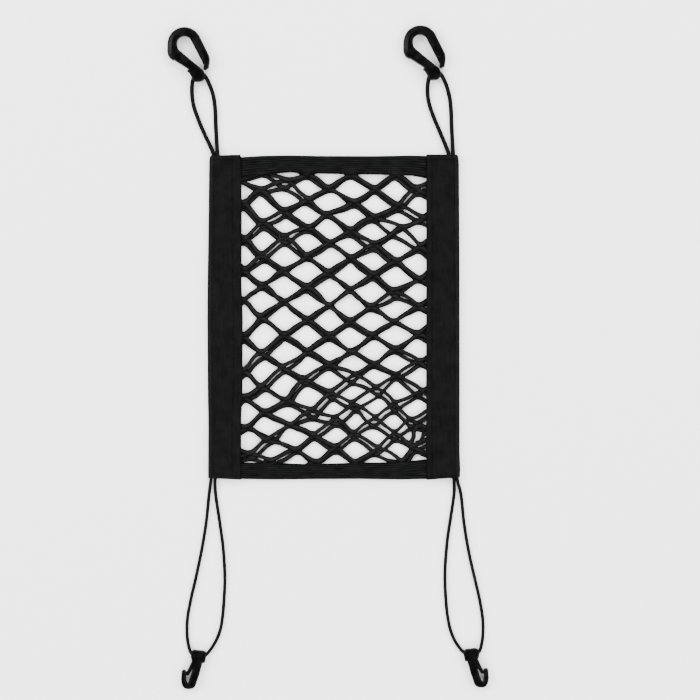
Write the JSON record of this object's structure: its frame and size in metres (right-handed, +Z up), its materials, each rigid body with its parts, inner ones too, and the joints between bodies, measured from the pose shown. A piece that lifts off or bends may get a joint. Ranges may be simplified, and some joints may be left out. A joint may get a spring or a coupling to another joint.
{
  "type": "pet barrier net",
  "caption": "Elastic diamond net for the gap between car seats, bound on all sides, with cord loops and plastic hooks at its corners.",
  "frame": {"origin": "middle of the bound panel, on the surface that it lies on", "axes": "+X to the panel's right and +Y to its top, seen from above; +Z up out of the net"},
  "size_m": [0.2986, 0.6162, 0.0086],
  "materials": {
    "binding": "plain weave, matte",
    "band": "ribbed elastic, matte",
    "net": "flat braid, matte",
    "cord": "round braid, slight sheen",
    "hook": "moulded, satin"
  },
  "bodies": {
    "root": {"binding_left": "binding", "binding_right": "binding", "band_top": "band", "band_bottom": "band", "net_front": "net", "net_back": "net", "cord_top_left": "cord", "cord_top_right": "cord", "cord_bottom_left": "cord", "cord_bottom_right": "cord", "hook_top_left": "hook", "hook_top_right": "hook", "hook_bottom_left": "hook", "hook_bottom_right": "hook"}
  },
  "joints": []
}
